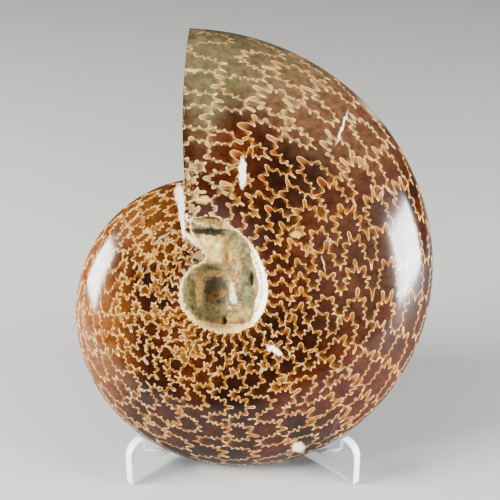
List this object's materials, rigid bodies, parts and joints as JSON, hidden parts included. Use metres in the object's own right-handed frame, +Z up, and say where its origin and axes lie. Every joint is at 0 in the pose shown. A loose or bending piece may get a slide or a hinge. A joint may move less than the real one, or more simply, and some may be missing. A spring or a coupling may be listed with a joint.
{
  "type": "fossil ammonite on a display stand",
  "caption": "Polished fossil ammonite with leaf-shaped sutures, standing upright and leaning back in a clear stand of crossed plates, for display.",
  "frame": {"origin": "under the middle of the whole object, on the surface it stands on", "axes": "+Z up, +X to the right as the fossil's face is seen, +Y from the face to the back"},
  "size_m": [0.1196, 0.0777, 0.136],
  "materials": {
    "fossil_shell": "polished",
    "clear_plate": "clear, cut edges"
  },
  "bodies": {
    "root": {"ammonite": "fossil_shell", "stand_plate_left": "clear_plate", "stand_plate_right": "clear_plate"}
  },
  "joints": []
}
